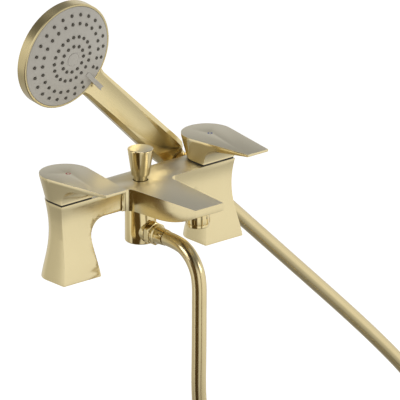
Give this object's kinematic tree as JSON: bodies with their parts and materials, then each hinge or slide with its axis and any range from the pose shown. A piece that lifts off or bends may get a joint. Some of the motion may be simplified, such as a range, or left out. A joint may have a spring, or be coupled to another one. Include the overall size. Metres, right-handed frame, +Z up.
{
  "type": "bath shower mixer tap",
  "caption": "Two-pillar bath tap with lever handles, tapered spout, lift diverter, and a hand shower on a hose, resting in a cradle, in satin brass.",
  "frame": {"origin": "on the deck plane, half way between the two inlet centres", "axes": "+X along the bridge from the hot inlet to the cold inlet, -Y out along the spout towards the bath, +Z up from the deck"},
  "size_m": [0.5434, 0.1601, 0.6403],
  "materials": {
    "satin_brass": "fine satin brushed",
    "hose_skin": "smooth satin hose skin",
    "plain_brass": "machined",
    "ceramic": null,
    "black_rubber": "matt",
    "nozzle_rubber": "matt",
    "black_plastic": "matt",
    "face_plastic": "satin grey",
    "inner_plastic": "matt",
    "steel": "bright",
    "red_plastic": "gloss",
    "blue_plastic": "gloss"
  },
  "bodies": {
    "mixer": {"body_casting": "satin_brass", "hot_deck_seal": "black_rubber", "hot_inlet_bush": "plain_brass", "hot_seat_seal": "black_rubber", "hot_fixed_disc": "ceramic", "hot_cartridge_body": "plain_brass", "hot_gland_nut": "plain_brass", "hot_glide_plate": "black_plastic", "cold_deck_seal": "black_rubber", "cold_inlet_bush": "plain_brass", "cold_seat_seal": "black_rubber", "cold_fixed_disc": "ceramic", "cold_cartridge_body": "plain_brass", "cold_gland_nut": "plain_brass", "cold_glide_plate": "black_plastic", "diverter_housing": "satin_brass", "diverter_seat": "plain_brass", "diverter_bush": "plain_brass", "diverter_spring": "steel", "outlet_tail": "plain_brass", "outlet_washer": "black_rubber", "outlet_nut": "satin_brass", "outlet_ferrule": "satin_brass", "hose_front": "hose_skin", "hose_coil": "hose_skin", "hose_tie": "black_rubber", "hose_rear": "hose_skin", "aerator_housing": "satin_brass", "aerator_seal": "black_rubber", "flow_straightener": "inner_plastic", "handset_cradle": "satin_brass", "cradle_screw": "steel"},
    "hot_lever": {"hot_lever": "satin_brass", "hot_index": "red_plastic", "hot_grub_screw": "steel", "hot_spindle": "plain_brass", "hot_moving_disc": "ceramic"},
    "cold_lever": {"cold_lever": "satin_brass", "cold_index": "blue_plastic", "cold_grub_screw": "steel", "cold_spindle": "plain_brass", "cold_moving_disc": "ceramic"},
    "diverter_knob": {"diverter_knob": "satin_brass", "diverter_spindle": "plain_brass", "diverter_washer": "black_rubber"},
    "handset": {"handset_body": "satin_brass", "handset_spigot": "plain_brass", "handset_washer": "black_rubber", "handset_nut": "satin_brass", "handset_ferrule": "satin_brass", "spray_chamber": "inner_plastic", "face_screw": "steel"},
    "spray_face": {"spray_plate": "face_plastic", "spray_nozzles": "nozzle_rubber", "centre_cap": "face_plastic"}
  },
  "joints": [
    {"name": "hot_lever_turn", "type": "hinge", "parent": "mixer", "child": "hot_lever", "pos_m": [-0.09, 0, 0.0806], "axis": [0, 0, 1], "range_deg": [-90, 0]},
    {"name": "cold_lever_turn", "type": "hinge", "parent": "mixer", "child": "cold_lever", "pos_m": [0.09, 0, 0.0806], "axis": [0, 0, 1], "range_deg": [0, 90]},
    {"name": "diverter_lift", "type": "slide", "parent": "mixer", "child": "diverter_knob", "axis": [0, 0, 1], "range_m": [0, 0.008], "stiffness_N_per_m": 150, "springref_m": -0.006, "deforming": ["diverter_spring"]},
    {"name": "handset_lift", "type": "slide", "parent": "mixer", "child": "handset", "axis": [-0.7193, 0, 0.6947], "range_m": [0, 0.06]},
    {"name": "spray_select", "type": "hinge", "parent": "handset", "child": "spray_face", "pos_m": [-0.06946, 0.02154, 0.21423], "axis": [0.0297, -0.9904, -0.1347], "range_deg": [-30, 30]}
  ]
}
